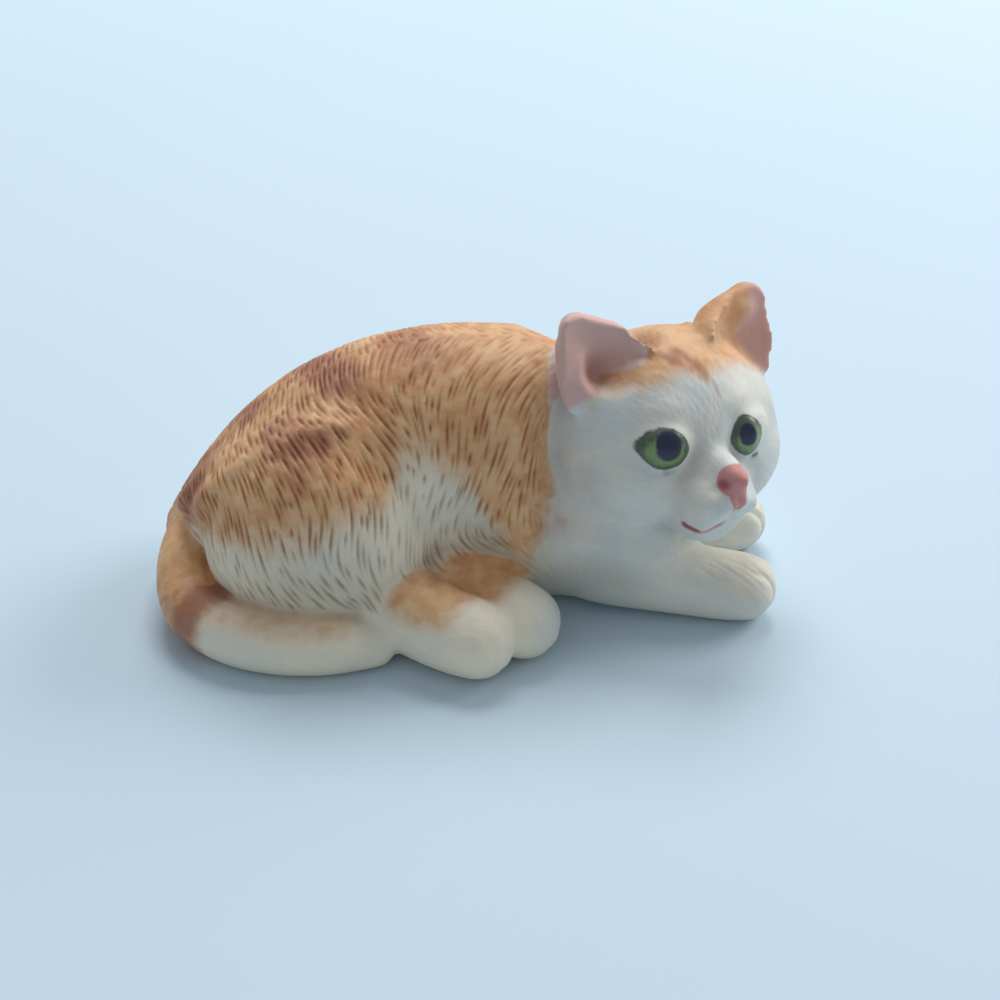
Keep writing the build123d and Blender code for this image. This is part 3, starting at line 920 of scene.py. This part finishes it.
class Glaze:
    """A material under construction."""

    def __init__(self, name):
        self.material = bpy.data.materials.new(name)
        self.material.use_nodes = True
        self.tree = self.material.node_tree
        self.shader = self.tree.nodes["Principled BSDF"]

    def node(self, kind, settings, inputs, output=0):
        """Any node: its settings first, then the values or links of its sockets."""
        made = self.tree.nodes.new(kind)
        for key, value in settings.items():
            setattr(made, key, value)
        for key, value in inputs.items():
            socket = made.inputs[key]
            if isinstance(value, S):
                self.tree.links.new(value.socket, socket)
            else:
                socket.default_value = value
        return S(self, made.outputs[output])

    def mask(self, name):
        """The three parts of a pigment mask."""
        vector = self.node("ShaderNodeAttribute", {"attribute_name": name}, {}, "Vector")
        return [self.node("ShaderNodeSeparateXYZ", {}, {0: vector}, i) for i in range(3)]

    def noise(self, scale, detail=3.0, roughness=0.55):
        """Noise from 0 to 1 with a grain of so many to the metre."""
        place = self.node("ShaderNodeTexCoord", {}, {}, "Object")
        inputs = {"Vector": place, "Scale": scale, "Detail": detail, "Roughness": roughness}
        return self.node("ShaderNodeTexNoise", {}, inputs)

    def mix(self, share, first, second, blend="MIX"):
        """Two colours mixed."""
        settings = {"data_type": "RGBA", "blend_type": blend}
        colours = [c if isinstance(c, S) else (*c, 1.0) for c in (first, second)]
        return self.node("ShaderNodeMix", settings, {0: share, 6: colours[0], 7: colours[1]}, 2)

    def bump(self, height, distance, strength):
        return self.node("ShaderNodeBump", {}, {"Height": height, "Distance": distance, "Strength": strength})

    def finish(self, inputs, constants):
        for key, value in inputs.items():
            self.tree.links.new(value.socket, self.shader.inputs[key])
        for key, value in constants.items():
            self.shader.inputs[key].default_value = value
        return self.material


def eye_paint(glaze, colour):
    """Paints the eyes over a colour: an outline, an iris and a pupil."""
    paints = bpy.context.scene.kitten_paints
    outline, iris, pupil = glaze.mask("eye")
    wobble = (glaze.noise(1500, 2.0) - 0.5) * 0.3
    colour = glaze.mix((outline + wobble * 0.5).step(1.08, 0.94) * 0.95, colour, tuple(paints.eye_rim))
    rim = (outline - iris * 0.2 + wobble).step(0.1, 0.7)
    green = glaze.mix(rim, tuple(paints.iris_inner), tuple(paints.iris_outer))
    colour = glaze.mix((iris + wobble).step(1.08, 0.82), colour, green)
    return glaze.mix((pupil + wobble).step(1.12, 0.86), colour, tuple(paints.pupil))


def painted_glaze():
    """The matt hand-painted glaze of all the castings."""
    if "glaze" in bench:
        return bench["glaze"]
    paints = bpy.context.scene.kitten_paints
    glaze = Glaze("painted_glaze")
    ginger, rust, umber_wash_and_shade = glaze.mask("coat")
    nose, mouth, mauve = glaze.mask("skin")
    rose, ink, ochre = glaze.mask("marks")
    groove, crease_shade, pale = glaze.mask("relief")
    broad, middle, fine = glaze.noise(150, 3), glaze.noise(600, 4), glaze.noise(3000, 3, 0.6)
    dabs = (middle - 0.5) * 0.5 + (broad - 0.5) * 0.6
    deep = groove.step(0.1, 0.9)

    creamy = ((broad + dabs).step(0.3, 0.75) * 0.35 + (1.0 - pale) * 0.75).clamp()
    white = glaze.mix(creamy, tuple(paints.white), tuple(paints.cream))
    # The whites drawn towards grey brown: partly a wash, partly painted shade under the belly and in the
    # creases.
    wash_and_shade = (umber_wash_and_shade * (0.7 + dabs) + umber_wash_and_shade * deep * 0.5 + crease_shade * 0.4).clamp()
    colour = glaze.mix(wash_and_shade, white, tuple(paints.umber_wash_and_shade))
    sunny = (broad + (middle - 0.5) * 0.8).step(0.28, 0.75)
    gold = glaze.mix(sunny, tuple(paints.gold), tuple(paints.ginger))
    coat = (ginger * 1.1 + dabs * 0.7 + (deep - 0.4) * 0.2 - 0.06).step(0.0, 1.0)
    colour = glaze.mix(coat * 0.95, colour, gold)
    bands = (rust * (0.9 + deep * 0.4) + dabs * 0.9 * rust.step(0.0, 0.25)).step(0.05, 0.85)
    colour = glaze.mix(bands * 0.85, colour, tuple(paints.rust))
    colour = glaze.mix((ochre * (0.9 + dabs)).clamp(), colour, tuple(paints.ochre))
    colour = glaze.mix((mauve * (0.85 + dabs * 0.6)).clamp(), colour, tuple(paints.mauve))
    pink = (nose + (fine - 0.5) * 0.3 * nose).step(0.2, 0.8)
    colour = glaze.mix(pink * 0.9, colour, tuple(paints.pink))
    colour = glaze.mix((mouth * 0.85).clamp(), colour, tuple(paints.pink))
    colour = glaze.mix(rose.step(0.1, 0.8) * 0.85, colour, tuple(paints.rose))
    settled = (deep * (0.42 + 0.35 * coat + 0.2 * umber_wash_and_shade)).clamp()
    colour = glaze.mix(settled, colour, tuple(paints.wash), "MULTIPLY")
    # Painted shade: the creases darkened with the brown wash, more where the coat is ginger.
    colour = glaze.mix((crease_shade * (0.3 + 0.4 * coat)).clamp(), colour, tuple(paints.wash), "MULTIPLY")
    colour = glaze.mix(ink, colour, tuple(paints.eye_rim))
    colour = eye_paint(glaze, colour)
    colour = glaze.mix((fine - 0.5).step(-0.2, 0.35) * 0.14, colour, (0.72, 0.66, 0.6), "MULTIPLY")
    grain = fine * 0.6 + glaze.noise(9000, 2) * 0.4
    relief = glaze.bump(grain, 0.00005, 0.35)
    rough = 0.5 + middle * 0.16 + groove * 0.08
    bench["glaze"] = glaze.finish({"Base Color": colour, "Normal": relief, "Roughness": rough},
                                  {"Specular IOR Level": 0.4, "Coat Weight": 0.06, "Coat Roughness": 0.35})
    return bench["glaze"]


def eye_enamel():
    """The glossier enamel of the eyes."""
    paints = bpy.context.scene.kitten_paints
    glaze = Glaze("eye_enamel")
    fine = glaze.noise(3200, 3, 0.6)
    colour = eye_paint(glaze, glaze.mix(0.5, tuple(paints.white), tuple(paints.cream)))
    relief = glaze.bump(glaze.noise(2200, 2), 0.00004, 0.3)
    rough = 0.3 + fine * 0.15
    return glaze.finish({"Base Color": colour, "Normal": relief, "Roughness": rough},
                        {"Specular IOR Level": 0.5, "Coat Weight": 0.3, "Coat Roughness": 0.15})


# ------------------------------------------------------------------ sizes and paints


def colour(name, description, default):
    return FloatVectorProperty(name=name, description=description, default=default, size=3, min=0, max=1,
                               subtype="COLOR")


def length(name, description, default):
    return FloatProperty(name=name, description=description, default=default, unit="LENGTH", precision=5)


class KittenSizes(bpy.types.PropertyGroup):
    eye_lift: FloatProperty(name="Eye lift", description="How far the eyes look above the head's own level",
                            default=math.radians(6.1), subtype="ANGLE")
    eye_forward: length("Eyes forward", "The eyes' place ahead of the middle of the head", 0.00748)
    eye_rise: length("Eyes up", "The eyes' place above the middle of the head", 0.00195)
    eye_turn: FloatProperty(name="Eye slant", description="How far the outer corner of an eye is raised",
                            default=math.radians(9), subtype="ANGLE")
    eye_bulge: length("Eye bulge", "How far the enamel of an eye stands out", 0.0003)
    tuft_gap: length("Tuft spacing", "The distance from one combed tuft to the next", 0.00052)
    tuft_depth: length("Tuft depth", "How deep the comb goes into the coat", 0.00028)
    voxel: length("Clay grain", "The size of the finest clay detail", 0.0002)
    seed: IntProperty(name="Seed", description="Changes the random order of the tufts", default=7)


class KittenPaints(bpy.types.PropertyGroup):
    white: colour("White", "Bare white of the face, the chest and the paws", (0.68, 0.69, 0.66))
    cream: colour("Cream", "Warmer white of the haunch", (0.92, 0.82, 0.64))
    gold: colour("Gold", "Lighter ginger of the coat", (0.80, 0.46, 0.22))
    ginger: colour("Ginger", "Ginger of the coat", (0.66, 0.30, 0.12))
    rust: colour("Rust", "Reddish brown of the tabby bands", (0.38, 0.14, 0.08))
    umber_wash_and_shade: colour("Umber", "Grey brown wash under the belly", (0.36, 0.29, 0.20))
    # Partly a real wash, partly painted shade under the belly, the thigh and the low chest.
    ochre: colour("Ochre", "Yellow spot under the ear", (0.75, 0.56, 0.22))
    # Besides settling in the grooves, this brown darkens the creases as painted shade.
    wash: colour("Wash", "Brown wash that settles in the grooves", (0.42, 0.27, 0.14))
    mauve: colour("Mauve", "Pink inside the ears", (0.74, 0.42, 0.37))
    pink: colour("Pink", "Pink of the nose and the lips", (0.62, 0.22, 0.20))
    rose: colour("Rose", "Darker red of the nostrils and the mouth", (0.36, 0.07, 0.09))
    eye_rim: colour("Eye outline", "Dark green line around the eyes", (0.035, 0.07, 0.03))
    iris_inner: colour("Iris", "Paler green beside the pupil", (0.27, 0.36, 0.15))
    iris_outer: colour("Iris edge", "Deeper green at the edge of the iris", (0.14, 0.24, 0.06))
    pupil: colour("Pupil", "Navy of the pupils", (0.012, 0.016, 0.05))
    paper: colour("Paper", "The pale floor", (0.62, 0.75, 0.85))


# ------------------------------------------------------------------ the making


class KITTEN_OT_clay(bpy.types.Operator):
    """Fuse, sculpt and comb the clay, and lay its pigment masks"""
    bl_idname = "kitten.clay"
    bl_label = "Model the clay"

    def execute(self, context):
        sizes = context.scene.kitten_sizes
        clay = fused_clay()
        head = bench["head"]
        sculpt_head(clay, head)
        clay.settle()
        voxel = sizes.voxel / MM * 1
        clay = Clay(outer_island(remesh(clay.mesh, voxel)))
        clay.polish(4)
        sculpt_face(clay, head)
        sculpt_feet(clay)
        clay.settle()
        # Depth in the creases, used to paint shade into them.
        crease_shade = hollows(clay)
        groove = comb_fur(clay, head)
        low, high = (np.array(corner) / MM for corner in CAD_BOX)
        clay.points = np.clip(clay.points, low + (BOX_MARGIN, BOX_MARGIN, 0), high - BOX_MARGIN)
        bench["masks"] = paint_masks(clay, head, groove, crease_shade)
        clay.settle()
        tree = KDTree(len(clay.points))
        for i, point in enumerate(clay.points):
            tree.insert(point, i)
        tree.balance()
        bench["tree"] = tree
        bench["surface"] = clay.tree()
        bench["clay"] = clay.mesh
        return {"FINISHED"}


class KITTEN_OT_ears(bpy.types.Operator):
    """Cut the two ears out of the clay"""
    bl_idname = "kitten.ears"
    bl_label = "Ears"

    def execute(self, context):
        cast("right_ear", "right_ear_glazed")
        cast("left_ear", "left_ear_glazed")
        return {"FINISHED"}


class KITTEN_OT_hind_feet(bpy.types.Operator):
    """Cut the two hind feet out of the clay"""
    bl_idname = "kitten.hind_feet"
    bl_label = "Hind feet"

    def execute(self, context):
        cast("right_hind_foot", "right_hind_foot_glazed")
        cast("left_hind_foot", "left_hind_foot_glazed")
        return {"FINISHED"}


class KITTEN_OT_tail(bpy.types.Operator):
    """Cut the curled tail out of the clay"""
    bl_idname = "kitten.tail"
    bl_label = "Tail"

    def execute(self, context):
        cast("tail", "tail_glazed")
        return {"FINISHED"}


class KITTEN_OT_forelegs(bpy.types.Operator):
    """Cut the two forelegs out of the clay"""
    bl_idname = "kitten.forelegs"
    bl_label = "Forelegs"

    def execute(self, context):
        cast("right_foreleg", "right_foreleg_glazed")
        cast("left_foreleg", "left_foreleg_glazed")
        return {"FINISHED"}


class KITTEN_OT_haunch(bpy.types.Operator):
    """Cut the right haunch out of the clay"""
    bl_idname = "kitten.haunch"
    bl_label = "Right haunch"

    def execute(self, context):
        cast("right_haunch", "right_haunch_glazed")
        return {"FINISHED"}


class KITTEN_OT_head(bpy.types.Operator):
    """Cut the head out of the clay"""
    bl_idname = "kitten.head"
    bl_label = "Head"

    def execute(self, context):
        cast("head_shell", "head_glazed", grow=0.5, hull=True)
        return {"FINISHED"}


class KITTEN_OT_body(bpy.types.Operator):
    """Fire what is left of the clay as the body, with the vent in its foot"""
    bl_idname = "kitten.body"
    bl_label = "Body"

    def execute(self, context):
        if "clay" not in bench:
            raise RuntimeError("Model the clay first")
        bm = bmesh.new()
        drill = bmesh.ops.create_cone(bm, cap_ends=True, segments=48, radius1=VENT_RADIUS,
                                      radius2=VENT_RADIUS, depth=5.0)
        bmesh.ops.translate(bm, vec=(*VENT, 0.0), verts=drill["verts"])
        tool = bpy.data.meshes.new("drill")
        bm.to_mesh(tool)
        bm.free()
        body = outer_island(cut(bench["clay"], tool, "DIFFERENCE"))
        bpy.data.meshes.remove(tool)
        bpy.data.meshes.remove(bench.pop("clay"))
        fire(body, ("body_shell",), "body_glazed", painted_glaze())
        return {"FINISHED"}


class KITTEN_OT_eyes(bpy.types.Operator):
    """Set a dome of enamel over each eye"""
    bl_idname = "kitten.eyes"
    bl_label = "Eyes"

    def execute(self, context):
        sizes = context.scene.kitten_sizes
        head, surface, enamel = bench["head"], bench["surface"], eye_enamel()
        for name, eye in EYES.items():
            bm = bmesh.new()
            bmesh.ops.create_uvsphere(bm, u_segments=96, v_segments=48, radius=1.0)
            turn = sizes.eye_turn
            spots, rises = [], []
            for vert in bm.verts:
                a, b, rise = vert.co
                b *= 1 - EYE_PINCH * a * a
                across, up = a * eye["half"][0] * 0.97, b * eye["half"][1] * 0.97
                inward = across * math.cos(turn) + up * math.sin(turn)
                height = -across * math.sin(turn) + up * math.cos(turn) + eye["height"]
                start = head.world((30, eye["side"] * (eye["across"] - inward), height))
                hit, normal, _, _ = surface.ray_cast(Vector(start), Vector(-head.axes[0]))
                if hit is None:
                    raise RuntimeError(f"{name} misses the head")
                spots.append((hit, normal))
                rises.append(rise)
            outward = sum((normal for _, normal in spots), Vector()).normalized()
            for vert, (hit, _), rise in zip(bm.verts, spots, rises):
                lift = (sizes.eye_bulge / MM if rise > 0 else 0.9) * rise - ENAMEL_SINK
                vert.co = hit + outward * lift
            bmesh.ops.recalc_face_normals(bm, faces=bm.faces)
            mesh = bpy.data.meshes.new(name)
            bm.to_mesh(mesh)
            bm.free()
            points = np.empty(len(mesh.vertices) * 3)
            mesh.vertices.foreach_get("co", points)
            points = points.reshape(-1, 3)
            layer = mesh.attributes.new("eye", "FLOAT_VECTOR", "POINT")
            layer.data.foreach_set("vector", eye_fields(points, head).T.ravel())
            mesh.vertices.foreach_set("co", (points * MM).ravel())
            mesh.shade_smooth()
            mesh.materials.append(enamel)
            piece = bpy.data.objects.new(name + "_enamel", mesh)
            context.scene.collection.objects.link(piece)
            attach(piece, "root")
            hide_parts(name)
        return {"FINISHED"}


class KITTEN_OT_stage(bpy.types.Operator):
    """Lay the paper, light it from behind and above, and place the camera"""
    bl_idname = "kitten.stage"
    bl_label = "Stage"

    def execute(self, context):
        scene = context.scene
        paints = scene.kitten_paints
        bm = bmesh.new()
        bmesh.ops.create_grid(bm, x_segments=2, y_segments=2, size=0.6)
        bmesh.ops.translate(bm, vec=(0, 0, CAD_BOX[0][2]), verts=bm.verts)
        mesh = bpy.data.meshes.new("paper")
        bm.to_mesh(mesh)
        bm.free()
        paper = Glaze("paper")
        tone = paper.mix(paper.noise(9, 2).step(0.3, 0.7) * 0.25, tuple(paints.paper), (0.58, 0.71, 0.82))
        grain = paper.bump(paper.noise(2600, 2), 0.00002, 0.3)
        mesh.materials.append(paper.finish({"Base Color": tone, "Normal": grain},
                                           {"Roughness": 0.85, "Specular IOR Level": 0.2}))
        floor = bpy.data.objects.new("paper", mesh)
        scene.collection.objects.link(floor)

        world = bpy.data.worlds.new("soft_room")
        world.use_nodes = True
        world.node_tree.nodes["Background"].inputs["Color"].default_value = SKY[0]
        world.node_tree.nodes["Background"].inputs["Strength"].default_value = SKY[1]
        scene.world = world
        for name, place, size, power, tint in LAMPS:
            lamp = bpy.data.lights.new(name, "AREA")
            lamp.size = size
            lamp.energy = power
            lamp.color = tint
            light = bpy.data.objects.new(name, lamp)
            light.location = place
            light.rotation_euler = (-Vector(place)).to_track_quat("-Z", "Y").to_euler()
            scene.collection.objects.link(light)

        lens = bpy.data.cameras.new("camera")
        lens.lens, lens.sensor_width = 80, 36
        lens.clip_start = 0.01
        camera = bpy.data.objects.new("camera", lens)
        away = Vector((0, -math.cos(CAMERA_ELEVATION), math.sin(CAMERA_ELEVATION)))
        camera.location = Vector(CAMERA_TARGET) + CAMERA_DISTANCE * away
        camera.rotation_euler = (math.pi / 2 - CAMERA_ELEVATION, 0, 0)
        scene.collection.objects.link(camera)
        scene.camera = camera
        scene.view_settings.view_transform = "Standard"
        return {"FINISHED"}


STEPS = (KITTEN_OT_clay, KITTEN_OT_ears, KITTEN_OT_hind_feet, KITTEN_OT_tail, KITTEN_OT_forelegs,
         KITTEN_OT_haunch, KITTEN_OT_head, KITTEN_OT_body, KITTEN_OT_eyes, KITTEN_OT_stage)


class KITTEN_PT_panel(bpy.types.Panel):
    """The kitten's sizes, paints and steps"""
    bl_label = "Kitten"
    bl_idname = "KITTEN_PT_panel"
    bl_space_type = "VIEW_3D"
    bl_region_type = "UI"
    bl_category = "Kitten"

    def draw(self, context):
        for group in (context.scene.kitten_sizes, context.scene.kitten_paints):
            column = self.layout.column()
            for name in group.__annotations__:
                column.prop(group, name)
        for made in STEPS:
            self.layout.operator(made.bl_idname)


CLASSES = (KittenSizes, KittenPaints, *STEPS, KITTEN_PT_panel)


def register():
    for made in CLASSES:
        bpy.utils.register_class(made)
    bpy.types.Scene.kitten_sizes = PointerProperty(type=KittenSizes)
    bpy.types.Scene.kitten_paints = PointerProperty(type=KittenPaints)


def unregister():
    del bpy.types.Scene.kitten_paints
    del bpy.types.Scene.kitten_sizes
    for made in reversed(CLASSES):
        bpy.utils.unregister_class(made)


def main():
    register()
    for made in STEPS:
        group, name = made.bl_idname.split(".")
        getattr(getattr(bpy.ops, group), name)()


if __name__ == "__main__":
    main()
